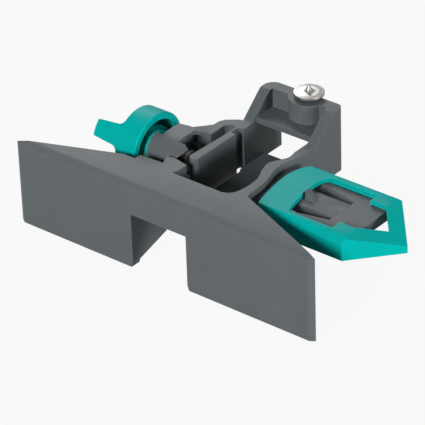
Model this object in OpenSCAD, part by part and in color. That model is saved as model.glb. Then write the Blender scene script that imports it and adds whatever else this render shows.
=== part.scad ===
// Edge and circle guide jig for a hand tool: a notched fence block, a hollow
// arm that carries a steel centre point, a bar clamp worked by a wing knob and
// a clip-on guard frame held on a tongue.
// Frame: X along the fence (0 at mid-width), Y back from the fence's front face,
// Z up from the fence's lower edge. Millimetres.

/* [Fence] */
// Overall width of the fence
fence_w = 142; // [120:1:180]
// Height of the fence
fence_h = 35.6; // [32:0.2:44]
// Depth of the fence block
fence_d = 17; // [15:0.5:22]
// Thickness of the front plate
plate_t = 4.5; // [3.5:0.1:6]
// Wall of the hollow parts
skin = 3; // [2.2:0.1:4]
// Width of the notch
notch_w = 26.4; // [16:0.2:36]
// Height of the notch
notch_h = 23.4; // [19:0.2:27]
// Offset of the notch from mid-width
notch_x = -0.9; // [-3:0.1:3]
// Height where the deep upper half of the block starts
mid_z = 18; // [15:0.5:19]
// Chamfer along the front upper edge, downwards
lip_z = 1.2; // [0.5:0.1:2]
// Chamfer along the front upper edge, backwards
lip_y = 3; // [1:0.1:4]

/* [Arm] */
// Thickness of the rails and walls
rail_t = 3.5; // [2.6:0.1:4.2]
// Inner face of the left rail
left_x = -6.1; // [-8:0.1:-4]
// Inner face of the right rail
right_x = 20.2; // [18.5:0.1:24]
// Underside of the arm
arm_z = 17.8; // [15:0.1:18]
// Thickness of the floor
floor_t = 1.4; // [1:0.1:3]
// Where the rails start to rise
rise_y = 63.4; // [62:0.2:66]
// Where the rails reach their full height
crest_y = 74; // [72.5:0.2:77]
// Far end of the arm
arm_end = 81.2; // [80:0.2:92]
// Full height of the raised end
crest_z = 45.2; // [42:0.1:50]
// Back edge of the floor
floor_end = 70.5; // [66:0.5:72]

/* [Centre point] */
// Position of the point across the arm
point_x = 9; // [4:0.1:10]
// Radius of the boss
boss_r = 7.9; // [6.8:0.1:9]
// Radius of the steel disc
disc_r = 6; // [5.2:0.1:6.5]
// Thickness of the steel disc
disc_t = 1.4; // [1:0.1:2]
// Height of the spike
spike_h = 3.1; // [2:0.1:5]

/* [Clamp] */
// Drop from the top of the fence to the knob's axis
knob_drop = 5.5; // [4.6:0.1:6.6]
// Distance of the knob's axis from the front face
knob_y = 35; // [34.5:0.1:37]
// Outer radius of the knob's cup
cup_r = 14.4; // [13:0.1:16]
// Depth of the cup
cup_depth = 9.3; // [8:0.1:12]
// Length of the wing
wing_len = 11.4; // [8:0.2:18]
// Outer radius of the collar
collar_r = 9.2; // [9.1:0.1:10]
// Radius of the knob's journal
journal_r = 7.5; // [7:0.1:7.7]
// Radius of the spindle
spindle_r = 3; // [2.5:0.1:3.2]
// Running clearance on the radius
fit = 0.08; // [0.03:0.01:0.1]

/* [Guard frame] */
// Level of the frame's upper face
guard_z = 33.4; // [33:0.1:34]
// Height of the frame
guard_h = 9.4; // [8:0.1:10]
// Centre line of the frame
guard_y = 38.1; // [37:0.1:39]
// Half of the frame's width
guard_half = 18.4; // [18:0.1:20]
// Where the sides turn towards the tip
corner_x = 69; // [68:0.1:84]
// Tip of the frame
tip_x = 85; // [84:0.1:100]
// Thickness of the frame's top
guard_top = 1.8; // [1.2:0.1:2]
// Thickness of the frame's side walls
guard_wall = 1.7; // [1.2:0.1:2.4]

/* [Hidden] */

// Plan of the fence
half_w = fence_w / 2;
tip_in = 2.1;
tip_y = 1.4;
back_slope = 0.39;
back_x = half_w - (fence_d - tip_y) / back_slope;
ear_x = 25.6;
ear_y = 20.2;
slope = (ear_y - tip_y) / (half_w - ear_x);
notch_l = notch_x - notch_w / 2;
notch_r = notch_x + notch_w / 2;
flare = 1;

// Arm
left_out = left_x - rail_t;
back_out = left_out - 1;
right_out = right_x + rail_t;
point_y = 79.5;
point_z = crest_z;
neck_h = 1.3;
stud_r = 2;
insert_r = 3.4;
insert_wall = 1.2;
shelf_z = 37.1;
shelf_t = 2.4;
shelf_y = 66;
wall_y = 76.3;
groove_y0 = 53.5;
groove_y1 = 58;
flex_y = 55.75;
flex_t = 1.2;
flex_x = left_out + flex_t / 2;
jaw_y = 31.3;
jaw_swell = 0.8;
slit = 1;
bar_gap = 4.4;
slot_x = left_out - bar_gap;

// Clamp, measured along X
knob_z = fence_h - knob_drop;
rim_x = -29.5;
cup_back = rim_x - cup_depth;
cup_floor = cup_back + 2.2;
cup_in = cup_r - 2.7;
hub_r = 8.6;
hub_end = -31;
journal_end = -22.6;
socket_r = journal_r + fit;
ring_r = journal_r + 0.6;
ring_x = -25.4;
ring_t = 1;
nut_x = -37;
nut_t = 5;
wing_x = cup_back - wing_len;
wing_root = 4.2;
wing_end = 3.35;
wing_turn = 146;
fillet_r = 2.2;
collar_x = -28;
mouth_x = -11.6;
hood_x0 = -24.8;
hood_x1 = -16.6;
hood_z = knob_z + collar_r;
hood_t = 1.8;
web_z = knob_z - 6.6;
web_t = 3.2;
web_y = fence_d + web_t;
guide_x1 = -18.6;
plate_x = -14.4;
pad_r = 4;
pad_t = 1.5;

// Tongue and guard frame
tongue_top = guard_z - 2.1;
tongue_t = 4.3;
tongue_end = 68.8;
tongue_near = 13.6;
tongue_far = 13.2;
seat = 0.3;
lip_w = 1.8;
root_x = 55.6;
root_z = tongue_top - tongue_t / 2;
root_r = tongue_t / 2;
step_x = 61.5;
win_half = 14;
win_tip = 9.3;
slope_drop = 6.6;
bevel = 2.3;
tip_run = (tip_x - corner_x) / guard_half;
apex_x = corner_x - 0.4 + win_tip * tip_run;
ramp_x0 = 39.6;
ramp_x1 = 43.8;
ramp_w = 2.6;
ramp_h = 3.6;

// Points on a smooth curve through a list of points
function blend(p, i, t) =
  let (n = len(p) - 1,
       a = p[max(i - 1, 0)], b = p[i],
       c = p[min(i + 1, n)], d = p[min(i + 2, n)])
  0.5 * (2 * b + (c - a) * t + (2 * a - 5 * b + 4 * c - d) * t * t
    + (3 * b - a - 3 * c + d) * t * t * t);

function smooth(p, k) = [
  for (i = [0 : len(p) - 2]) for (j = [0 : k - 1]) blend(p, i, j / k),
  p[len(p) - 1],
];

// Inner edge of the curved rail, from the straight rail to the fence
inner_edge = smooth([
  [right_x, 56], [right_x + 0.5, 51.5], [18.9, 47.6], [17.1, 43.5],
  [18.4, 38.2], [20.7, 32.8], [21.2, fence_d + 11.5], [21, fence_d + 6.3],
  [19.4, fence_d + 1.8],
  [16.2, fence_d],
], 4);

// Outer edge of the curved rail, the same way
outer_edge = smooth([
  [right_out, 56], [22.7, 50.5], [21.7, 46], [21.9, 42], [23.1, 37.3],
  [24.3, 33], [24.7, 30], [24.9, 25.5], [25.1, ear_y + 1.8],
  [ear_x, ear_y],
], 4);

// Outer end of the guard frame, from the far side to the near side
guard_arc = smooth([
  [36, guard_y + guard_half], [32, guard_y + guard_half - 0.5],
  [28.8, guard_y + 15.8], [26.9, guard_y + 12.6], [25.7, guard_y + 7.6],
  [25.8, guard_y + 2], [26.7, guard_y - 5.5], [28.1, guard_y - 12],
  [29.5, guard_y - guard_half + 1.7], [31.2, guard_y - guard_half],
], 4);

// Inner edge of the band, from the near side to the far side
band_arc = smooth([
  [41.9, guard_y - win_half], [40.4, guard_y - 10.5], [39.4, guard_y - 6],
  [38.4, guard_y - 1], [38, guard_y + 4], [38.2, guard_y + 8.5],
  [38.9, guard_y + 11.5], [40.3, guard_y + win_half],
], 4);

module along_x(x, len, r, fn = 64) {
  translate([x, knob_y, knob_z])
    rotate([0, 90, 0])
      cylinder(h = len, r = r, $fn = fn);
}

// ---- Fence ----

module fence_plate() {
  color([0.36, 0.38, 0.40])
    difference() {
      linear_extrude(height = fence_h)
        polygon([
          [-half_w + tip_in, 0], [half_w - tip_in, 0], [half_w, tip_y],
          [half_w - (plate_t - tip_y) / slope, plate_t],
          [-half_w + (plate_t - tip_y) / slope, plate_t], [-half_w, tip_y],
        ]);
      // notch with a flared foot
      translate([0, -1, 0])
        rotate([90, 0, 0])
          mirror([0, 0, 1])
            linear_extrude(height = plate_t + 2)
              polygon([
                [notch_l - flare, -1], [notch_r + flare, -1],
                [notch_r, 2.2], [notch_r, notch_h], [notch_l, notch_h],
                [notch_l, 2.2],
              ]);
      // chamfer of the front upper edge
      translate([-half_w - 1, 0, 0])
        rotate([90, 0, 90])
          linear_extrude(height = fence_w + 2)
            polygon([
              [-1, fence_h - lip_z * 4 / 3], [lip_y, fence_h],
              [lip_y, fence_h + 1], [-1, fence_h + 1],
            ]);
    }
}

module fence_top() {
  color([0.36, 0.38, 0.40])
    translate([0, 0, fence_h - skin])
      linear_extrude(height = skin)
        polygon([
          [-half_w + (plate_t - tip_y) / slope, plate_t],
          [half_w - (plate_t - tip_y) / slope, plate_t],
          [ear_x, ear_y], [16.2, fence_d], [-back_x, fence_d],
        ]);
}

module fence_skirt() {
  color([0.36, 0.38, 0.40])
    translate([0, 0, mid_z])
      linear_extrude(height = fence_h - skin - mid_z)
        difference() {
          polygon([
            [-half_w + (plate_t - tip_y) / slope, plate_t],
            [half_w - (plate_t - tip_y) / slope, plate_t],
            [ear_x, ear_y], [16.2, fence_d], [-back_x, fence_d],
          ]);
          polygon([
            [-half_w + (plate_t - tip_y + skin) / slope, plate_t - 1],
            [half_w - (plate_t - tip_y + skin) / slope, plate_t - 1],
            [back_x - skin / 2, fence_d - skin],
            [-back_x + skin / 2, fence_d - skin],
          ]);
        }
}

module rib(x, low_z) {
  translate([x + skin / 2, 0, 0])
    rotate([90, 0, -90])
      linear_extrude(height = skin)
        polygon([
          [-plate_t, low_z], [-plate_t, fence_h - skin],
          [-(fence_d - skin), fence_h - skin],
          [-(fence_d - skin), mid_z],
        ]);
}

module long_rib() {
  // runs under the block from the front plate to the clamp
  difference() {
    translate([notch_l, 0, 0])
      rotate([90, 0, -90])
        linear_extrude(height = skin)
          polygon([
            [-plate_t, 1.9], [-plate_t, fence_h - skin],
            [-(fence_d - skin), fence_h - skin], [-(fence_d - skin), mid_z],
            [-fence_d, mid_z], [-fence_d, arm_z], [-web_y, arm_z],
            [-web_y, web_z], [-33, web_z], [-33, web_z - 3],
            [-(fence_d + 7), 7.6],
          ]);
    along_x(-40, 40, collar_r, 96);
  }
}

module fence_ribs() {
  color([0.33, 0.35, 0.37]) {
    long_rib();
    rib(notch_r + 1 + skin / 2, 0.6);
    rib(-back_x + 5, mid_z - 8);
    rib(back_x - 5, mid_z - 8);
  }
}

// ---- Arm ----

module arm_floor() {
  color([0.30, 0.31, 0.34])
    translate([0, 0, arm_z])
      linear_extrude(height = floor_t)
        polygon(concat(
          [[left_x + slit, fence_d], [left_x + slit, groove_y1 - 3],
           [left_x, groove_y1 - 3], [left_x, floor_end],
           [right_x, floor_end]],
          inner_edge
        ));
}

module rail_profile(y0) {
  polygon([
    [y0, arm_z], [arm_end, arm_z], [arm_end, crest_z],
    [crest_y + 0.8, crest_z], [crest_y - 0.6, crest_z - 0.9],
    [rise_y + 0.4, fence_h + 0.2], [rise_y - 0.8, fence_h], [y0, fence_h],
  ]);
}

module left_rail() {
  w = left_x - back_out;
  color([0.36, 0.38, 0.40])
    difference() {
      union() {
        intersection() {
          translate([back_out, 0, 0])
            rotate([90, 0, 90])
              linear_extrude(height = w)
                rail_profile(groove_y1);
          // rounded far corner in plan
          union() {
            translate([back_out, groove_y1 - 1, 0])
              cube([w, arm_end - w - groove_y1 + 1, 60]);
            translate([left_x, arm_end - w, 0])
              cylinder(h = 60, r = w, $fn = 64);
          }
        }
        // thin strip that the jaw flexes on
        translate([left_out, flex_y, arm_z])
          cube([flex_t, groove_y1 - flex_y, fence_h - arm_z]);
      }
      translate([flex_x, flex_y, arm_z - 1])
        cylinder(h = 40, r = flex_t / 2 + fit, $fn = 32);
    }
}

module right_rail() {
  r = 2.6;
  w = rail_t + 0.5;
  color([0.36, 0.38, 0.40])
    intersection() {
      translate([right_x, 0, 0])
        rotate([90, 0, 90])
          linear_extrude(height = w)
            rail_profile(56);
      // thicker towards the far end, with a corner rounded in plan
      linear_extrude(height = 60)
        polygon(concat(
          [[right_x, 56], [right_out, 56], [right_x + w, 64]],
          [for (a = [0 : 15 : 90])
            [right_x + w - r + r * cos(a), arm_end - r + r * sin(a)]],
          [[right_x, arm_end]]
        ));
    }
}

module curved_rail() {
  n = len(outer_edge);
  color([0.36, 0.38, 0.40])
    translate([0, 0, arm_z])
      linear_extrude(height = fence_h - arm_z)
        polygon(concat(
          inner_edge,
          [for (i = [n - 1 : -1 : 0]) outer_edge[i]]
        ));
}

module point_shelf() {
  color([0.33, 0.35, 0.38])
    translate([left_x, shelf_y, shelf_z - shelf_t])
      cube([right_x - left_x, arm_end - shelf_y, shelf_t]);
}

module end_wall() {
  color([0.36, 0.38, 0.40])
    difference() {
      translate([left_x, wall_y, shelf_z])
        cube([right_x - left_x, arm_end - wall_y, crest_z - shelf_z]);
      translate([point_x, point_y, shelf_z - 1])
        cylinder(h = 20, r = boss_r, $fn = 96);
    }
}

module point_boss() {
  color([0.36, 0.38, 0.40])
    difference() {
      union() {
        intersection() {
          translate([point_x, point_y, shelf_z])
            cylinder(h = crest_z - shelf_z, r = boss_r, $fn = 96);
          translate([point_x - 20, arm_end - 40, 0])
            cube([40, 40, 60]);
        }
        // bulge round the insert on the far side
        translate([point_x, point_y, shelf_z])
          cylinder(h = crest_z - shelf_z, r = insert_r + insert_wall, $fn = 64);
      }
      translate([point_x, point_y, shelf_z + 1])
        cylinder(h = 20, r = insert_r, $fn = 48);
    }
}

module boss_insert() {
  color([0.78, 0.62, 0.32])
    translate([point_x, point_y, shelf_z + 1])
      difference() {
        cylinder(h = crest_z - shelf_z - 1, r = insert_r, $fn = 48);
        translate([0, 0, 1])
          cylinder(h = 20, r = stud_r, $fn = 48);
      }
}

module centre_point() {
  t = disc_t;
  color([0.74, 0.74, 0.73])
    translate([point_x, point_y, point_z])
      rotate_extrude($fn = 96)
        polygon([
          [0, -5], [stud_r, -5], [stud_r, 0], [3.5, 0], [3.5, neck_h],
          [disc_r - 0.3, neck_h], [disc_r, neck_h + 0.3],
          [disc_r, neck_h + t - 0.3], [disc_r - 0.3, neck_h + t],
          [1.6, neck_h + t], [1.3, neck_h + t + 0.2],
          [0, neck_h + t + spike_h],
        ]);
}

// ---- Bar clamp ----

module slot_wall() {
  x1 = slot_x;
  x0 = slot_x - rail_t;
  color([0.36, 0.38, 0.40])
    difference() {
      translate([0, 0, arm_z])
        linear_extrude(height = fence_h - arm_z)
          polygon([
            [back_out, groove_y1], [back_out, 63], [back_out - 1.2, 63],
            [x0 + 1.2, 59.6], [x0, 57.2], [x0, 54.2], [x0 - 2.1, 51.6],
            [-22.6, 48.2], [-24.6, 45.2], [-24.6, 41], [-21.4, 41],
            [-20.2, 46], [x1, 47.9], [x1, 56.4], [x1 + 0.8, 57.6],
            [x1 + 2, groove_y1],
          ]);
      along_x(-40, 40, collar_r, 96);
    }
}

module clamp_jaw() {
  r = (rail_t + jaw_swell) / 2;
  color([0.36, 0.38, 0.40])
    translate([0, 0, arm_z])
      linear_extrude(height = fence_h - arm_z) {
        polygon([
          [left_x, jaw_y], [left_x, groove_y0], [left_out, groove_y0],
          [left_out, 48], [left_x - 2 * r, jaw_y],
        ]);
        translate([left_x - r, jaw_y])
          circle(r = r, $fn = 48);
        translate([left_out, groove_y0 - 0.5])
          square([flex_t, flex_y - groove_y0 + 0.5]);
        translate([flex_x, flex_y])
          circle(r = flex_t / 2, $fn = 32);
      }
}

module clamp_collar() {
  color([0.36, 0.38, 0.40])
    difference() {
      along_x(collar_x, mouth_x - collar_x, collar_r, 96);
      // socket for the journal
      along_x(collar_x - 1, journal_end + 0.4 - collar_x + 1, socket_r, 96);
      // groove for the ring
      along_x(ring_x - 0.1, ring_t + 0.2, ring_r + fit, 96);
      // mouth for the pad
      along_x(guide_x1, 20, socket_r, 96);
      // flatted guide hole for the spindle
      intersection() {
        along_x(journal_end, 8, spindle_r + fit, 64);
        translate([-30, knob_y - spindle_r * 0.8 - fit, knob_z - 10])
          cube([20, 2 * (spindle_r * 0.8 + fit), 20]);
      }
      // crown cuts round the end that meets the knob
      translate([collar_x - 1, knob_y - 2.4, knob_z])
        cube([4.4, 20, 20]);
      translate([collar_x - 1, knob_y + 1, knob_z - 20])
        cube([3, 4, 15]);
      translate([collar_x - 1, knob_y - 20, knob_z - 3])
        cube([3, 15, 3.6]);
      // lip at the mouth, and the window behind it
      translate([0, 80, 0])
        rotate([90, 0, 0])
          linear_extrude(height = 80)
            polygon([
              [mouth_x, knob_z + 7], [mouth_x - 1.3, knob_z + 8.3],
              [mouth_x - 1.3, 60], [0, 60], [0, 0], [mouth_x - 4.4, 0],
              [mouth_x - 4.4, knob_z + 0.5], [mouth_x - 3, knob_z + 3.9],
            ]);
      translate([hood_x1, knob_y - 3.3, knob_z + 2])
        cube([20, 40, 20]);
      translate([hood_x1 - 2.6, knob_y + 1.5, knob_z + 2])
        cube([20, 40, 20]);
    }
}

module side_outline(x, len) {
  // an outline in Y and Z carried along X
  translate([x, 0, 0])
    rotate([90, 0, 90])
      linear_extrude(height = len)
        children();
}

module collar_hood() {
  y0 = knob_y;
  z0 = fence_h;
  w = 47.9;
  color([0.36, 0.38, 0.40])
    difference() {
      union() {
        side_outline(hood_x0, slot_x - hood_x0)
          polygon([
            [y0, hood_z], [y0 + 7, hood_z], [w, z0], [w - 2.6, z0],
            [y0 + 6.4, hood_z - hood_t], [y0, hood_z - hood_t],
          ]);
        // end plate on the knob's side
        side_outline(hood_x0, hood_t)
          polygon([
            [y0, hood_z], [y0 + 7, hood_z], [w, z0], [y0, z0],
          ]);
      }
      along_x(-40, 40, collar_r, 96);
      // slanted mouth
      linear_extrude(height = 60)
        polygon([
          [hood_x1, 0], [hood_x1, y0 + 7], [slot_x, w], [0, 60], [0, 0],
        ]);
    }
}

module collar_web() {
  color([0.33, 0.35, 0.38])
    difference() {
      union() {
        // tab level with the top of the fence
        translate([0, 0, web_z + 2.5])
          linear_extrude(height = fence_h - web_z - 2.5)
            polygon([
              [-25.8, fence_d], [-25.4, web_y], [-14.8, web_y + 0.3], [-16.8, 25.3],
              [-13.5, 25.9], [-6.6, 24.4], [-6.9, web_y], [-7.5, fence_d],
            ]);
        // lower web and rib that carry the collar
        translate([-25.8, fence_d, arm_z])
          cube([11.4, web_t, web_z + 2.5 - arm_z]);
        translate([-22.4, fence_d, arm_z])
          cube([3.2, 24, 14]);
        translate([-25.8, fence_d, web_z])
          cube([11.4, 12.5, 3.5]);
        translate([-22.4, fence_d, arm_z - 3])
          cube([3.2, 29, 3]);
      }
      along_x(-40, 40, collar_r, 96);
    }
}

// ---- Tongue and guard frame ----

module slot_plan(s) {
  // tapered slot beside the finger, s = 1 far side, s = -1 near side
  polygon([
    [27.4, guard_y + s * 5.2], [27.4, guard_y + s * 10.8],
    [42, guard_y + s * 10.8], [root_x, guard_y + s * 7.6],
    [root_x, guard_y + s * 5.2],
  ]);
}

module scale_tongue() {
  color([0.33, 0.34, 0.37])
    difference() {
      union() {
        translate([0, 0, tongue_top - tongue_t])
          linear_extrude(height = tongue_t)
            polygon([
              [26.6, guard_y - tongue_near],
              [tongue_end, guard_y - tongue_near],
              [tongue_end, guard_y + tongue_far],
              [26.6, guard_y + tongue_far],
            ]);
        // root block that grows out of the curved rail
        translate([0, 0, tongue_top - tongue_t])
          linear_extrude(height = tongue_t)
            polygon(concat(
              [for (i = [4 : 31]) outer_edge[i]],
              [[27, guard_y - tongue_near], [27, guard_y + tongue_far]]
            ));
      }
      // slots and the finger's own space
      translate([0, 0, tongue_top - tongue_t - 1])
        linear_extrude(height = tongue_t + 2) {
          slot_plan(1);
          slot_plan(-1);
          polygon([
            [27.4, guard_y - 6], [root_x, guard_y - 6],
            [root_x, guard_y + 6], [27.4, guard_y + 6],
          ]);
        }
      translate([root_x, guard_y - 5.3, root_z])
        rotate([-90, 0, 0])
          cylinder(h = 10.6, r = root_r + fit, $fn = 48);
    }
}

module latch_finger() {
  color([0.33, 0.34, 0.37]) {
    translate([28, guard_y - 5.2, tongue_top - tongue_t])
      cube([root_x - 28, 10.4, tongue_t]);
    translate([root_x, guard_y - 5.2, root_z])
      rotate([-90, 0, 0])
        cylinder(h = 10.4, r = root_r, $fn = 48);
    // ramp that the frame snaps behind
    translate([0, guard_y + ramp_w / 2, 0])
      rotate([90, 0, 0])
        linear_extrude(height = ramp_w)
          polygon([
            [ramp_x0, tongue_top - 1], [ramp_x1, tongue_top - 1],
            [ramp_x1, tongue_top + 0.2], [ramp_x0, tongue_top + ramp_h],
          ]);
  }
}

module guard_plan() {
  polygon(concat(
    guard_arc,
    [[corner_x, guard_y - guard_half], [tip_x, guard_y],
     [corner_x, guard_y + guard_half]]
  ));
}

module guard_hollow() {
  // shallow space under the pointed end
  h = guard_half - guard_wall;
  polygon([
    [step_x + 1, guard_y - h], [corner_x - 0.8, guard_y - h],
    [tip_x - 2.2, guard_y], [corner_x - 0.8, guard_y + h],
    [step_x + 1, guard_y + h],
  ]);
}

module tip_slope(lift) {
  z0 = guard_z + lift;
  translate([0, guard_y + 30, 0])
    rotate([90, 0, 0])
      linear_extrude(height = 60)
        polygon([
          [corner_x, z0], [tip_x, z0 - slope_drop],
          [tip_x + 20, z0 - slope_drop], [tip_x + 20, z0 + 20],
          [corner_x, z0 + 20],
        ]);
}

module scale_frame() {
  color([0.0, 0.72, 0.68])
    difference() {
      translate([0, 0, guard_z - guard_h])
        linear_extrude(height = guard_h)
          guard_plan();
      // hollow under the pointed end
      difference() {
        translate([0, 0, guard_z - guard_h - 1])
          linear_extrude(height = guard_h + 1 - guard_top)
            guard_hollow();
        tip_slope(-guard_top);
      }
      // upper face that falls towards the tip
      tip_slope(0);
      // channel for the tongue, open at the round end
      translate([20, guard_y - tongue_near - seat, tongue_top - tongue_t - seat])
        cube([step_x - 18, tongue_near + tongue_far + 2 * seat,
              tongue_t + 2 * seat]);
      // gap between the lips that hook under the tongue
      translate([20, guard_y - tongue_near + lip_w, guard_z - guard_h - 1])
        cube([step_x - 18, tongue_near + tongue_far - 2 * lip_w, guard_h - 2]);
      // window over the tongue
      translate([0, 0, guard_z - guard_h - 1])
        linear_extrude(height = guard_h + 2)
          polygon(concat(
            band_arc,
            [[step_x, guard_y + win_half], [step_x, guard_y + win_tip],
             [apex_x - win_tip * tip_run, guard_y + win_tip],
             [apex_x, guard_y],
             [apex_x - win_tip * tip_run, guard_y - win_tip],
             [step_x, guard_y - win_tip], [step_x, guard_y - win_half]]
          ));
      // bevel along both long sides
      for (s = [-1, 1])
        translate([0, guard_y + s * guard_half, guard_z])
          rotate([45, 0, 0])
            translate([0, -bevel / 1.41421, -bevel / 1.41421])
              cube([200, bevel * 1.41421, bevel * 1.41421]);
    }
}

// ---- Knob and spindle ----

module wing_knob() {
  color([0.0, 0.72, 0.68])
    difference() {
      union() {
        // cup with its hub
        translate([0, knob_y, knob_z])
          rotate([0, 90, 0])
            rotate_extrude($fn = 128)
              polygon([
                [0, hub_end], [hub_r, hub_end], [hub_r, cup_floor],
                [cup_in, cup_floor], [cup_in, rim_x], [cup_r - 0.4, rim_x],
                [cup_r, rim_x - 0.4], [cup_r, cup_back], [0, cup_back],
              ]);
        along_x(hub_end - 1, journal_end - hub_end + 1, journal_r, 96);
        // wing, as wide as the cup
        intersection() {
          along_x(wing_x, cup_back - wing_x + 1, cup_r, 128);
          translate([0, knob_y, knob_z])
            rotate([wing_turn, 0, 0])
              wing_blade();
        }
      }
      // ring groove
      difference() {
        along_x(ring_x, ring_t, journal_r + 1, 96);
        along_x(ring_x - 1, ring_t + 2, journal_r - 0.8, 96);
      }
      // nut pocket and spindle bore
      along_x(nut_x, nut_t, 5.774, 6);
      along_x(nut_x + nut_t - 1, 40, spindle_r + 0.5, 64);
      along_x(nut_x - 9, 10, spindle_r + 0.5, 64);
    }
}

module wing_blade() {
  // broad face spans local Y, thin across local Z, with a fillet at the cup
  r = fillet_r;
  side = [
    for (a = [0 : 15 : 90])
      [cup_back - r + r * sin(a), wing_root + r - r * cos(a)],
  ];
  translate([0, 20, 0])
    rotate([90, 0, 0])
      linear_extrude(height = 40)
        polygon(concat(
          [[wing_x, -wing_end + 0.4], [wing_x, wing_end - 0.4],
           [wing_x + 0.4, wing_end]],
          side,
          [[cup_back + 0.5, wing_root + r], [cup_back + 0.5, -wing_root - r]],
          [for (i = [len(side) - 1 : -1 : 0]) [side[i][0], -side[i][1]]],
          [[wing_x + 0.4, -wing_end]]
        ));
}

module knob_nut() {
  color([0.78, 0.62, 0.32])
    difference() {
      along_x(nut_x, nut_t, 5.774, 6);
      along_x(nut_x - 1, nut_t + 2, spindle_r + fit, 64);
    }
}

module retaining_ring() {
  color([0.6, 0.61, 0.62])
    difference() {
      along_x(ring_x, ring_t, ring_r, 96);
      along_x(ring_x - 1, ring_t + 2, journal_r - 0.8, 96);
      translate([ring_x - 1, knob_y - 1.2, knob_z - 20])
        cube([ring_t + 2, 2.4, 20]);
    }
}

module clamp_spindle() {
  color([0.62, 0.63, 0.64]) {
    along_x(nut_x - 6, 14, spindle_r, 64);
    intersection() {
      along_x(nut_x + 7, plate_x - nut_x - 7, spindle_r, 64);
      translate([-40, knob_y - spindle_r * 0.8, knob_z - 10])
        cube([40, 2 * spindle_r * 0.8, 20]);
    }
    along_x(plate_x - 1, 2, 2, 48);
  }
}

module pressure_plate() {
  color([0.62, 0.63, 0.64])
    difference() {
      along_x(plate_x, pad_t, pad_r, 64);
      along_x(plate_x - 1, 2, 2, 48);
    }
}

fence_plate();
fence_top();
fence_skirt();
fence_ribs();
arm_floor();
left_rail();
right_rail();
curved_rail();
point_shelf();
end_wall();
point_boss();
boss_insert();
centre_point();
slot_wall();
clamp_jaw();
clamp_collar();
collar_hood();
collar_web();
scale_tongue();
latch_finger();
scale_frame();
wing_knob();
knob_nut();
retaining_ring();
clamp_spindle();
pressure_plate();
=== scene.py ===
"""Looks of an edge and circle guide jig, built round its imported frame."""

import logging
import math
from collections.abc import Callable
from dataclasses import dataclass, field
from enum import Enum

import bmesh
import bpy
from mathutils import Matrix, Vector


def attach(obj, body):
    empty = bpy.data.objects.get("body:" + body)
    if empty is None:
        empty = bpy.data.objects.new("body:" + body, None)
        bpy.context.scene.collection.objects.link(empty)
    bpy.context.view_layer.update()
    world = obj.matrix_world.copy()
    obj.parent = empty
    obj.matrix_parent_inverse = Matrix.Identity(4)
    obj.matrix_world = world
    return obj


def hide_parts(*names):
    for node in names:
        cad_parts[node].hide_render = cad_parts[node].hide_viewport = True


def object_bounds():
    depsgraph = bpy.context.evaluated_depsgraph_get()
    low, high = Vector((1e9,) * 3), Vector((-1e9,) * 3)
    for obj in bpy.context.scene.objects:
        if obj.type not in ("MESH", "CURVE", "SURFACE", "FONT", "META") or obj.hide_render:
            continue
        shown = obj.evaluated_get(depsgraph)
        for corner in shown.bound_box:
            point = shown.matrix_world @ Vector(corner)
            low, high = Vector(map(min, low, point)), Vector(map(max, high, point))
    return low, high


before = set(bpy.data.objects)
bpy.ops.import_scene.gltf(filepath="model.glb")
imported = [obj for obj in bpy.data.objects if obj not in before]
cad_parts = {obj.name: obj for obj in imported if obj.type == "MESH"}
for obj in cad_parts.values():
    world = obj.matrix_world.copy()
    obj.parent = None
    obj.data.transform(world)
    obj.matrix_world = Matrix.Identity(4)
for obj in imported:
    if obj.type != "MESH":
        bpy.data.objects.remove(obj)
CAD_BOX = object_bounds()

log = logging.getLogger("jig")
MM = 0.001
WELD = 1e-6
FLAT_ANGLE = math.radians(1.0)
POINT_AXIS = (9.0 * MM, 79.5 * MM)


class Slot(Enum):
    """The record's material slots."""

    GREY = "grey_plastic"
    TEAL = "teal_plastic"
    STEEL = "steel"


class Body(Enum):
    """The record's bodies."""

    FRAME = "frame"
    JAW = "jaw"
    CATCH = "catch"
    KNOB = "knob"


# ---- Shader groups ----


def new_group(name: str, inputs: dict[str, float], outputs: dict[str, str]) -> bpy.types.NodeTree:
    """Makes an empty shader group with named sockets.

    Args:
        name: the group's name.
        inputs: each float input and its default.
        outputs: each output and its socket type.

    Returns:
        The group, with its Group Input and Group Output nodes in place.
    """
    tree = bpy.data.node_groups.new(name, "ShaderNodeTree")
    for label, value in inputs.items():
        socket = tree.interface.new_socket(label, in_out="INPUT", socket_type="NodeSocketFloat")
        socket.default_value = value
    for label, kind in outputs.items():
        tree.interface.new_socket(label, in_out="OUTPUT", socket_type=kind)
    tree.nodes.new("NodeGroupInput").name = "in"
    tree.nodes.new("NodeGroupOutput").name = "out"
    return tree


def moulding_grain() -> bpy.types.NodeTree:
    """Builds the fine texture of moulded plastic: a grain height and a slow tone mask.

    Returns:
        A group with Scale and Tone Scale inputs and Height and Tone outputs.
    """
    tree = new_group(
        "moulding_grain",
        {"Scale": 2500.0, "Tone Scale": 60.0},
        {"Height": "NodeSocketFloat", "Tone": "NodeSocketFloat"},
    )
    nodes, links = tree.nodes, tree.links
    place = nodes.new("ShaderNodeTexCoord")
    fine = nodes.new("ShaderNodeTexNoise")
    fine.inputs["Detail"].default_value = 3.0
    fine.inputs["Roughness"].default_value = 0.65
    slow = nodes.new("ShaderNodeTexNoise")
    slow.inputs["Detail"].default_value = 4.0
    for texture, label in ((fine, "Scale"), (slow, "Tone Scale")):
        links.new(place.outputs["Object"], texture.inputs["Vector"])
        links.new(nodes["in"].outputs[label], texture.inputs["Scale"])
    links.new(fine.outputs["Fac"], nodes["out"].inputs["Height"])
    links.new(slow.outputs["Fac"], nodes["out"].inputs["Tone"])
    return tree


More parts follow.
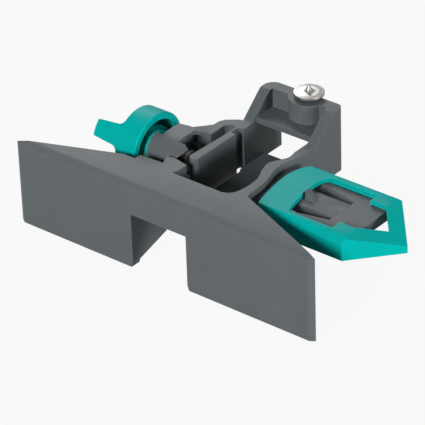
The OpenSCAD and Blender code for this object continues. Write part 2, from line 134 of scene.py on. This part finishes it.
def edge_wear_and_highlight() -> bpy.types.NodeTree:
    """Builds a mask of worn edges, where a rounded normal leaves the flat one; the mask also
    paints a highlight along them.

    Returns:
        A group with Radius and Gain inputs and a Mask output.
    """
    tree = new_group(
        "edge_wear_and_highlight", {"Radius": 0.5 * MM, "Gain": 3.0}, {"Mask": "NodeSocketFloat"}
    )
    nodes, links = tree.nodes, tree.links
    round_off = nodes.new("ShaderNodeBevel")
    round_off.samples = 4
    links.new(nodes["in"].outputs["Radius"], round_off.inputs["Radius"])
    flat = nodes.new("ShaderNodeNewGeometry")
    match = nodes.new("ShaderNodeVectorMath")
    match.operation = "DOT_PRODUCT"
    links.new(round_off.outputs["Normal"], match.inputs[0])
    links.new(flat.outputs["True Normal"], match.inputs[1])
    lack = nodes.new("ShaderNodeMath")
    lack.operation = "SUBTRACT"
    lack.inputs[0].default_value = 1.0
    links.new(match.outputs["Value"], lack.inputs[1])
    gain = nodes.new("ShaderNodeMath")
    gain.operation = "MULTIPLY"
    gain.use_clamp = True
    links.new(lack.outputs["Value"], gain.inputs[0])
    links.new(nodes["in"].outputs["Gain"], gain.inputs[1])
    links.new(gain.outputs["Value"], nodes["out"].inputs["Mask"])
    return tree


def turning_marks() -> bpy.types.NodeTree:
    """Builds the rings that a lathe leaves round a vertical axis.

    Returns:
        A group with X, Y and Pitch inputs and a Height output.
    """
    tree = new_group(
        "turning_marks", {"X": 0.0, "Y": 0.0, "Pitch": 0.25 * MM}, {"Height": "NodeSocketFloat"}
    )
    nodes, links = tree.nodes, tree.links
    place = nodes.new("ShaderNodeTexCoord")
    split = nodes.new("ShaderNodeSeparateXYZ")
    links.new(place.outputs["Object"], split.inputs[0])
    squares = []
    for axis in ("X", "Y"):
        off = nodes.new("ShaderNodeMath")
        off.operation = "SUBTRACT"
        links.new(split.outputs[axis], off.inputs[0])
        links.new(nodes["in"].outputs[axis], off.inputs[1])
        square = nodes.new("ShaderNodeMath")
        square.operation = "POWER"
        square.inputs[1].default_value = 2.0
        links.new(off.outputs["Value"], square.inputs[0])
        squares.append(square)
    total = nodes.new("ShaderNodeMath")
    links.new(squares[0].outputs["Value"], total.inputs[0])
    links.new(squares[1].outputs["Value"], total.inputs[1])
    root = nodes.new("ShaderNodeMath")
    root.operation = "SQRT"
    links.new(total.outputs["Value"], root.inputs[0])
    turns = nodes.new("ShaderNodeMath")
    turns.operation = "DIVIDE"
    links.new(root.outputs["Value"], turns.inputs[0])
    links.new(nodes["in"].outputs["Pitch"], turns.inputs[1])
    wave = nodes.new("ShaderNodeMath")
    wave.operation = "PINGPONG"
    wave.inputs[1].default_value = 0.5
    links.new(turns.outputs["Value"], wave.inputs[0])
    links.new(wave.outputs["Value"], nodes["out"].inputs["Height"])
    return tree


@dataclass
class Effects:
    """The shader groups that the finishes share."""

    grain: bpy.types.NodeTree
    wear_and_highlight: bpy.types.NodeTree
    turning: bpy.types.NodeTree


# ---- Finishes ----


@dataclass(frozen=True)
class MouldedPlastic:
    """A moulded plastic finish with a fine grain and edges lightened partly as wear and partly as
    a painted highlight.
    """

    name: str
    colour: tuple[float, float, float]
    # edge colour: partly worn plastic, partly a painted highlight along the edges
    edge: tuple[float, float, float]
    shade: float = 0.05
    roughness: float = 0.45
    grain: float = 0.15
    wear_and_highlight_share: float = 0.8
    specular: float = 0.18

    def build(self, effects: Effects) -> bpy.types.Material:
        """Makes the material.

        Args:
            effects: the shared shader groups.

        Returns:
            The material.
        """
        mat = bpy.data.materials.new(self.name)
        mat.use_nodes = True
        nodes, links = mat.node_tree.nodes, mat.node_tree.links
        shader = nodes["Principled BSDF"]
        shader.inputs["Specular IOR Level"].default_value = self.specular
        grain = nodes.new("ShaderNodeGroup")
        grain.node_tree = effects.grain
        ramp = nodes.new("ShaderNodeValToRGB")
        dark = tuple(c * (1 - self.shade) for c in self.colour)
        light = tuple(min(1.0, c * (1 + self.shade)) for c in self.colour)
        ramp.color_ramp.elements[0].position = 0.3
        ramp.color_ramp.elements[0].color = (*dark, 1)
        ramp.color_ramp.elements[1].position = 0.7
        ramp.color_ramp.elements[1].color = (*light, 1)
        links.new(grain.outputs["Tone"], ramp.inputs["Fac"])
        # edges are mixed toward the edge colour: partly wear, partly a painted highlight
        wear_and_highlight = nodes.new("ShaderNodeGroup")
        wear_and_highlight.node_tree = effects.wear_and_highlight
        share = nodes.new("ShaderNodeMath")
        share.operation = "MULTIPLY"
        share.inputs[1].default_value = self.wear_and_highlight_share
        links.new(wear_and_highlight.outputs["Mask"], share.inputs[0])
        mix = nodes.new("ShaderNodeMix")
        mix.data_type = "RGBA"
        links.new(share.outputs["Value"], mix.inputs["Factor"])
        links.new(ramp.outputs["Color"], mix.inputs["A"])
        mix.inputs["B"].default_value = (*self.edge, 1)
        links.new(mix.outputs["Result"], shader.inputs["Base Color"])
        spread = nodes.new("ShaderNodeMapRange")
        spread.inputs["To Min"].default_value = self.roughness - 0.06
        spread.inputs["To Max"].default_value = self.roughness + 0.08
        links.new(grain.outputs["Height"], spread.inputs["Value"])
        links.new(spread.outputs["Result"], shader.inputs["Roughness"])
        bump = nodes.new("ShaderNodeBump")
        bump.inputs["Strength"].default_value = self.grain
        bump.inputs["Distance"].default_value = 0.05 * MM
        links.new(grain.outputs["Height"], bump.inputs["Height"])
        links.new(bump.outputs["Normal"], shader.inputs["Normal"])
        return mat


@dataclass(frozen=True)
class TurnedMetal:
    """A turned metal finish, with rings round a vertical axis."""

    name: str
    colour: tuple[float, float, float]
    axis: tuple[float, float]
    roughness: float = 0.38
    ring_depth: float = 0.18

    def build(self, effects: Effects) -> bpy.types.Material:
        """Makes the material.

        Args:
            effects: the shared shader groups.

        Returns:
            The material.
        """
        mat = bpy.data.materials.new(self.name)
        mat.use_nodes = True
        nodes, links = mat.node_tree.nodes, mat.node_tree.links
        shader = nodes["Principled BSDF"]
        shader.inputs["Metallic"].default_value = 1.0
        grain = nodes.new("ShaderNodeGroup")
        grain.node_tree = effects.grain
        rings = nodes.new("ShaderNodeGroup")
        rings.node_tree = effects.turning
        rings.inputs["X"].default_value, rings.inputs["Y"].default_value = self.axis
        ramp = nodes.new("ShaderNodeValToRGB")
        ramp.color_ramp.elements[0].color = (*(c * 0.85 for c in self.colour), 1)
        ramp.color_ramp.elements[1].color = (*self.colour, 1)
        links.new(grain.outputs["Tone"], ramp.inputs["Fac"])
        links.new(ramp.outputs["Color"], shader.inputs["Base Color"])
        spread = nodes.new("ShaderNodeMapRange")
        spread.inputs["To Min"].default_value = self.roughness - 0.08
        spread.inputs["To Max"].default_value = self.roughness + 0.12
        links.new(grain.outputs["Height"], spread.inputs["Value"])
        links.new(spread.outputs["Result"], shader.inputs["Roughness"])
        bump = nodes.new("ShaderNodeBump")
        bump.inputs["Strength"].default_value = self.ring_depth
        bump.inputs["Distance"].default_value = 0.02 * MM
        links.new(rings.outputs["Height"], bump.inputs["Height"])
        links.new(bump.outputs["Normal"], shader.inputs["Normal"])
        return mat


# ---- Mesh helpers ----


def smooth(mesh: bpy.types.Mesh, degrees: float = 30.0) -> None:
    """Shades a mesh smooth up to an angle.

    Args:
        mesh: the mesh.
        degrees: edges sharper than this stay sharp.
    """
    mesh.polygons.foreach_set("use_smooth", [True] * len(mesh.polygons))
    mesh.set_sharp_from_angle(angle=math.radians(degrees))
    mesh.update()


def paint(obj: bpy.types.Object, mat: bpy.types.Material) -> None:
    """Gives a mesh one material.

    Args:
        obj: the mesh object.
        mat: its material.
    """
    obj.data.materials.clear()
    obj.data.materials.append(mat)


def weld(bm: bmesh.types.BMesh) -> None:
    """Joins corners that lie together and drops what has no area."""
    bmesh.ops.remove_doubles(bm, verts=bm.verts, dist=WELD)
    bmesh.ops.dissolve_degenerate(bm, edges=bm.edges, dist=WELD)


def flatten(bm: bmesh.types.BMesh) -> None:
    """Joins flat triangles into whole faces."""
    bmesh.ops.dissolve_limit(bm, angle_limit=FLAT_ANGLE, verts=bm.verts, edges=bm.edges)


def placed(name: str, bm: bmesh.types.BMesh) -> bpy.types.Object:
    """Turns an edited mesh into an object in the scene.

    Args:
        name: the object's and the mesh's name.
        bm: the edited mesh, which is used up.

    Returns:
        The object.
    """
    mesh = bpy.data.meshes.new(name)
    bm.to_mesh(mesh)
    bm.free()
    obj = bpy.data.objects.new(name, mesh)
    bpy.context.scene.collection.objects.link(obj)
    return obj


def welded_copy(node: str) -> bpy.types.Object:
    """Copies a CAD node's mesh with its corners joined.

    Args:
        node: the CAD node's name.

    Returns:
        A new object with the joined mesh.
    """
    bm = bmesh.new()
    bm.from_mesh(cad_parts[node].data)
    weld(bm)
    return placed(f"{node}_copy", bm)


def swell(
    obj: bpy.types.Object,
    axes: tuple[int, int],
    centre: tuple[float, float],
    radius: float,
) -> None:
    """Moves a round surface out a little, so that it joins its neighbours with an overlap.

    Args:
        obj: the mesh object.
        axes: the two coordinates across the axis.
        centre: the axis, in those coordinates.
        radius: the radius of the round surface.
    """
    step, near = 0.03 * MM, 0.02 * MM
    a, b = axes
    flat = max(v.co[b] for v in obj.data.vertices)
    for v in obj.data.vertices:
        off = Vector((v.co[a] - centre[0], v.co[b] - centre[1]))
        if off.length < radius - near:
            continue
        if flat - v.co[b] < WELD and abs(off.x) > near:
            v.co[a] += math.copysign(step, off.x)
        else:
            push = off.normalized() * step
            v.co[a] += push.x
            v.co[b] += push.y


def join_solids(name: str, parts: list[bpy.types.Object]) -> bpy.types.Object:
    """Joins closed meshes into one closed mesh and clears flat seams.

    Args:
        name: the new piece's name.
        parts: the meshes, which are used up.

    Returns:
        The joined piece.
    """
    base = parts[0]
    for part in parts[1:]:
        cut = base.modifiers.new("join", "BOOLEAN")
        cut.operation = "UNION"
        cut.solver = "EXACT"
        cut.object = part
        graph = bpy.context.evaluated_depsgraph_get()
        mesh = bpy.data.meshes.new_from_object(base.evaluated_get(graph))
        base.modifiers.clear()
        base.data = mesh
        bpy.data.objects.remove(part)
    bm = bmesh.new()
    bm.from_mesh(base.data)
    weld(bm)
    flatten(bm)
    bm.to_mesh(base.data)
    bm.free()
    base.name = name
    base.data.name = name
    return base


def round_edges(
    obj: bpy.types.Object,
    width: float,
    angle: float = 30.0,
    keep: Callable[[Vector], bool] = lambda spot: False,
) -> None:
    """Rounds a piece's sharp edges as a mould does.

    Args:
        obj: the mesh object.
        width: the width of the rounding.
        angle: edges flatter than this stay as they are.
        keep: tells from an edge's middle whether it stays sharp.
    """
    bm = bmesh.new()
    bm.from_mesh(obj.data)
    weight = bm.edges.layers.float.new("bevel_weight_edge")
    for edge in bm.edges:
        spot = (edge.verts[0].co + edge.verts[1].co) / 2
        if edge.is_manifold and edge.calc_face_angle() > math.radians(angle) and not keep(spot):
            edge[weight] = 1.0
    bm.to_mesh(obj.data)
    bm.free()
    bevel = obj.modifiers.new("edges", "BEVEL")
    bevel.width = width
    bevel.segments = 2
    bevel.limit_method = "WEIGHT"
    bevel.use_clamp_overlap = True
    bevel.harden_normals = True
    bevel.miter_outer = "MITER_ARC"


def clear_seams(obj: bpy.types.Object) -> None:
    """Joins the flat triangles of a mesh into whole faces.

    Args:
        obj: the mesh object.
    """
    bm = bmesh.new()
    bm.from_mesh(obj.data)
    flatten(bm)
    bm.to_mesh(obj.data)
    bm.free()


def settle(piece: bpy.types.Object, nodes: tuple[str, ...], body: Body) -> None:
    """Puts a finished piece in place of its CAD nodes.

    Args:
        piece: the new piece.
        nodes: the CAD nodes that it stands for.
        body: the body that it rides on.
    """
    smooth(piece.data)
    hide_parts(*nodes)
    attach(piece, body.value)
    log.info("%s stands for %s", piece.name, ", ".join(nodes))


def lathe(
    name: str,
    profile: list[tuple[float, float]],
    place: Vector,
    steps: int = 96,
) -> bpy.types.Object:
    """Turns a profile round a vertical axis.

    Args:
        name: the piece's name.
        profile: radius and height of each point, from the axis to the axis.
        place: where the axis meets height 0.
        steps: how many segments go round.

    Returns:
        The turned piece.
    """
    bm = bmesh.new()
    rows = []
    for radius, height in profile:
        if radius == 0.0:
            rows.append([bm.verts.new(place + Vector((0, 0, height)))])
            continue
        turns = (math.tau * i / steps for i in range(steps))
        rows.append(
            [
                bm.verts.new(place + Vector((radius * math.cos(t), radius * math.sin(t), height)))
                for t in turns
            ]
        )
    for low, high in zip(rows, rows[1:]):
        for i in range(steps):
            j = (i + 1) % steps
            ring = (
                [low[0], high[j], high[i]] if len(low) == 1
                else [low[i], low[j], high[0]] if len(high) == 1
                else [low[i], low[j], high[j], high[i]]
            )
            bm.faces.new(ring)
    bmesh.ops.recalc_face_normals(bm, faces=bm.faces)
    return placed(name, bm)


def box_solid(name: str, low: Vector, high: Vector) -> bpy.types.Object:
    """Makes a closed block between two corners.

    Args:
        name: the block's name.
        low: the lowest corner.
        high: the highest corner.

    Returns:
        The block.
    """
    bm = bmesh.new()
    bmesh.ops.create_cube(bm, size=1.0)
    for v in bm.verts:
        v.co = Vector(low[i] + (v.co[i] + 0.5) * (high[i] - low[i]) for i in range(3))
    return placed(name, bm)


# ---- Sub-assemblies ----


@dataclass
class SubAssembly:
    """Pieces that are built together and share a finish."""

    def build(self) -> list[bpy.types.Object]:
        """Builds the pieces."""
        raise NotImplementedError

    def dress(self, pieces: list[bpy.types.Object], mat: bpy.types.Material) -> None:
        """Gives the pieces their finish.

        Args:
            pieces: what build returned.
            mat: their material.
        """
        for piece in pieces:
            paint(piece, mat)


@dataclass
class Moulding(SubAssembly):
    """The grey moulding: fence, arm, clamp seat and their walls, as one piece."""

    edge: float = 0.35 * MM
    boss_axis: tuple[float, float] = POINT_AXIS
    boss_radius: float = 7.9 * MM
    collar_axis: tuple[float, float] = (35.0 * MM, 30.4 * MM)
    collar_radius: float = 9.2 * MM
    nodes: tuple[str, ...] = (
        "fence_plate", "fence_top", "fence_skirt", "curved_rail", "right_rail", "left_rail",
        "slot_wall", "end_wall", "point_boss", "collar_web", "clamp_collar", "collar_hood",
        "arm_floor", "point_shelf", "fence_ribs",
    )

    def build(self) -> list[bpy.types.Object]:
        """Joins the walls into one piece with rounded edges.

        Returns:
            The moulding.
        """
        parts = []
        for node in self.nodes:
            part = welded_copy(node)
            if node == "point_boss":
                swell(part, (0, 1), self.boss_axis, self.boss_radius)
            if node == "clamp_collar":
                swell(part, (1, 2), self.collar_axis, self.collar_radius)
            parts.append(part)
        piece = join_solids("grey_moulding", parts)
        round_edges(piece, self.edge)
        settle(piece, self.nodes, Body.FRAME)
        return [piece]


@dataclass
class Jaw(SubAssembly):
    """The free wall that the clamp presses against the bar."""

    edge: float = 0.35 * MM

    def build(self) -> list[bpy.types.Object]:
        """Rounds the wall's edges.

        Returns:
            The wall.
        """
        piece = welded_copy("clamp_jaw")
        piece.name = "jaw_wall"
        clear_seams(piece)
        round_edges(piece, self.edge)
        settle(piece, ("clamp_jaw",), Body.JAW)
        return [piece]


@dataclass
class Tongue(SubAssembly):
    """The tongue under the guard frame and its springy finger."""

    edge: float = 0.3 * MM
    hinge_x: float = 55.6 * MM
    hinge_reach: float = 1.2 * MM

    def near_hinge(self, spot: Vector) -> bool:
        """Tells whether a spot is on the finger's root, which has no open edge."""
        return abs(spot.x - self.hinge_x) < self.hinge_reach * 2

    def build(self) -> list[bpy.types.Object]:
        """Rounds the edges of the tongue and of the finger.

        Returns:
            The tongue and the finger.
        """
        pieces = []
        for node, name, body in (
            ("scale_tongue", "tongue", Body.FRAME),
            ("latch_finger", "finger", Body.CATCH),
        ):
            piece = welded_copy(node)
            piece.name = name
            clear_seams(piece)
            round_edges(piece, self.edge, keep=self.near_hinge)
            settle(piece, (node,), body)
            pieces.append(piece)
        return pieces


@dataclass
class GuardFrame(SubAssembly):
    """The teal frame with its pointed tip."""

    edge: float = 0.35 * MM
    ledge_low: Vector = field(default_factory=lambda: Vector((41.0, 51.5, 31.7)) * MM)
    ledge_high: Vector = field(default_factory=lambda: Vector((61.2, 52.6, 32.5)) * MM)

    def build(self) -> list[bpy.types.Object]:
        """Adds the ledge inside the far side and rounds the edges.

        Returns:
            The frame.
        """
        body = welded_copy("scale_frame")
        ledge = box_solid("ledge", self.ledge_low, self.ledge_high)
        piece = join_solids("guard_frame", [body, ledge])
        round_edges(piece, self.edge)
        settle(piece, ("scale_frame",), Body.FRAME)
        return [piece]


@dataclass
class Knob(SubAssembly):
    """The wing knob."""

    edge: float = 0.45 * MM

    def build(self) -> list[bpy.types.Object]:
        """Rounds the knob's edges.

        Returns:
            The knob.
        """
        piece = welded_copy("wing_knob")
        piece.name = "knob"
        clear_seams(piece)
        round_edges(piece, self.edge, angle=35.0)
        settle(piece, ("wing_knob",), Body.KNOB)
        return [piece]


@dataclass
class Point(SubAssembly):
    """The steel disc with its spike."""

    place: Vector = field(default_factory=lambda: Vector((9.0, 79.5, 44.7)) * MM)
    profile: tuple[tuple[float, float], ...] = (
        (0, -5), (2, -5), (2, 0), (3.5, 0), (3.5, 1.3), (5.7, 1.3), (5.9, 1.38), (6, 1.55),
        (6, 2.4), (5.93, 2.58), (5.75, 2.66), (5.3, 2.7), (5.18, 2.64), (5.06, 2.7), (3.2, 2.74),
        (2.3, 2.78), (1.9, 2.86), (1.6, 3.05), (1.3, 3.45), (1.02, 4.0), (0.72, 4.7),
        (0.4, 5.35), (0.12, 5.78), (0, 5.85),
    )

    def build(self) -> list[bpy.types.Object]:
        """Turns the disc and its spike.

        Returns:
            The disc.
        """
        profile = [(r * MM, z * MM) for r, z in self.profile]
        piece = lathe("point_disc", profile, self.place)
        settle(piece, ("centre_point",), Body.FRAME)
        return [piece]


@dataclass
class Hardware(SubAssembly):
    """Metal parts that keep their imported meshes."""

    nodes: tuple[str, ...]

    def build(self) -> list[bpy.types.Object]:
        """Smooths the parts.

        Returns:
            The parts.
        """
        pieces = []
        for node in self.nodes:
            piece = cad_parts[node]
            smooth(piece.data)
            log.info("%s keeps its mesh", node)
            pieces.append(piece)
        return pieces


def seen_directly(tree: bpy.types.NodeTree) -> bpy.types.NodeSocket:
    """Adds a switch that is on where the backdrop is seen, reflected or looked at through glass.

    Args:
        tree: the world's or the floor's node tree.

    Returns:
        The switch's output socket.
    """
    path = tree.nodes.new("ShaderNodeLightPath")
    level = path.outputs["Is Camera Ray"]
    for ray in ("Is Glossy Ray", "Is Transmission Ray"):
        either = tree.nodes.new("ShaderNodeMath")
        either.operation = "MAXIMUM"
        tree.links.new(level, either.inputs[0])
        tree.links.new(path.outputs[ray], either.inputs[1])
        level = either.outputs["Value"]
    return level


@dataclass(frozen=True)
class Lamp:
    """An area lamp: where it hangs, its width and its power."""

    name: str
    at: tuple[float, float, float]
    size: float
    power: float


@dataclass
class Studio:
    """Floor, lamps and camera."""

    azimuth: float = 39.97
    elevation: float = 31.53
    roll: float = 2.02
    lens: float = 249.73
    distance: float = 1.09912
    aside: tuple[float, float] = (-0.0188, -0.02503)
    ambient: float = 0.03
    shadow_share: float = 0.07
    floor_half: float = 3.0
    floor_grey: float = 0.3
    aim: tuple[float, float, float] = (0, 0.04, 0.02)
    lights: tuple[Lamp, ...] = (
        Lamp("key", (0.1, -0.85, 0.42), 0.25, 8.6),
        Lamp("side", (0.8, 0.1, 0.1), 0.25, 4.2),
        Lamp("top", (-0.5, 0.5, 0.45), 0.3, 3.4),
    )

    def camera(self) -> bpy.types.Object:
        """Sets up the camera.

        Returns:
            The camera.
        """
        a, e, r = (math.radians(v) for v in (self.azimuth, self.elevation, self.roll))
        back = Vector((math.sin(a) * math.cos(e), -math.cos(a) * math.cos(e), math.sin(e)))
        right = Vector((math.cos(a), math.sin(a), 0))
        up = back.cross(right)
        turned = (
            right * math.cos(r) - up * math.sin(r),
            right * math.sin(r) + up * math.cos(r),
            back,
        )
        axes = Matrix([turned[0], turned[1], turned[2]]).transposed()
        place = axes @ Vector((-self.aside[0], -self.aside[1], self.distance))
        data = bpy.data.cameras.new("camera")
        data.lens = self.lens
        data.sensor_width = 36.0
        data.clip_start, data.clip_end = 0.05, 10.0
        cam = bpy.data.objects.new("camera", data)
        cam.matrix_world = Matrix.Translation(place) @ axes.to_4x4()
        bpy.context.scene.collection.objects.link(cam)
        bpy.context.scene.camera = cam
        return cam

    def floor(self) -> bpy.types.Object:
        """Lays the pale floor.

        Returns:
            The floor.
        """
        mesh = bpy.data.meshes.new("floor")
        half, low = self.floor_half, CAD_BOX[0].z
        mesh.from_pydata(
            [(-half, -half, low), (half, -half, low), (half, half, low), (-half, half, low)],
            [],
            [(0, 1, 2, 3)],
        )
        obj = bpy.data.objects.new("floor", mesh)
        bpy.context.scene.collection.objects.link(obj)
        mat = bpy.data.materials.new("floor")
        mat.use_nodes = True
        shader = mat.node_tree.nodes["Principled BSDF"]
        shader.inputs["Base Color"].default_value = (*[self.floor_grey] * 3, 1)
        shader.inputs["Roughness"].default_value = 0.95
        shader.inputs["Specular IOR Level"].default_value = 0.1
        nodes, links = mat.node_tree.nodes, mat.node_tree.links
        white = nodes.new("ShaderNodeEmission")
        share = nodes.new("ShaderNodeMath")
        share.operation = "MULTIPLY"
        share.inputs[1].default_value = 1.0 - self.shadow_share
        pick = nodes.new("ShaderNodeMixShader")
        links.new(seen_directly(mat.node_tree), share.inputs[0])
        links.new(share.outputs["Value"], pick.inputs["Fac"])
        links.new(shader.outputs["BSDF"], pick.inputs[1])
        links.new(white.outputs["Emission"], pick.inputs[2])
        links.new(pick.outputs["Shader"], nodes["Material Output"].inputs["Surface"])
        paint(obj, mat)
        return obj

    def lamps(self) -> None:
        """Hangs the lamps and sets the world."""
        scene = bpy.context.scene
        world = bpy.data.worlds.new("studio")
        scene.world = world
        world.use_nodes = True
        nodes, links = world.node_tree.nodes, world.node_tree.links
        dim = nodes["Background"]
        dim.inputs["Color"].default_value = (1, 1, 1, 1)
        dim.inputs["Strength"].default_value = self.ambient
        white = nodes.new("ShaderNodeBackground")
        white.inputs["Strength"].default_value = 1.0
        white.inputs["Color"].default_value = (1, 1, 1, 1)
        pick = nodes.new("ShaderNodeMixShader")
        links.new(seen_directly(world.node_tree), pick.inputs["Fac"])
        links.new(dim.outputs["Background"], pick.inputs[1])
        links.new(white.outputs["Background"], pick.inputs[2])
        links.new(pick.outputs["Shader"], nodes["World Output"].inputs["Surface"])
        for light in self.lights:
            data = bpy.data.lights.new(light.name, "AREA")
            data.size = light.size
            data.energy = light.power
            lamp = bpy.data.objects.new(light.name, data)
            lamp.location = light.at
            facing = Vector(light.at) - Vector(self.aim)
            lamp.rotation_euler = facing.to_track_quat("Z", "Y").to_euler()
            scene.collection.objects.link(lamp)


def main() -> None:
    """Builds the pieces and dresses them."""
    logging.basicConfig(level=logging.INFO, format="%(message)s")
    bpy.context.scene.view_settings.view_transform = "Standard"
    studio = Studio()
    studio.camera()
    studio.floor()
    studio.lamps()
    effects = Effects(moulding_grain(), edge_wear_and_highlight(), turning_marks())
    # each finish's second colour is its edge colour: partly wear, partly a painted highlight
    # along the edges
    grey = MouldedPlastic(
        "grey_plastic", (0.105, 0.118, 0.125), (0.20, 0.215, 0.225), roughness=0.55
    ).build(effects)
    teal = MouldedPlastic(
        "teal_plastic", (0.0, 0.42, 0.39), (0.02, 0.55, 0.52), grain=0.08, specular=0.05
    ).build(effects)
    steel = TurnedMetal("steel", (0.25, 0.245, 0.235), POINT_AXIS).build(effects)
    brass = TurnedMetal("brass", (0.72, 0.53, 0.25), POINT_AXIS).build(effects)
    for part, finish in (
        (Moulding(), grey),
        (Jaw(), grey),
        (Tongue(), grey),
        (GuardFrame(), teal),
        (Knob(), teal),
        (Point(), steel),
        (Hardware(("clamp_spindle", "pressure_plate", "retaining_ring")), steel),
        (Hardware(("boss_insert", "knob_nut")), brass),
    ):
        part.dress(part.build(), finish)


if __name__ == "__main__":
    main()
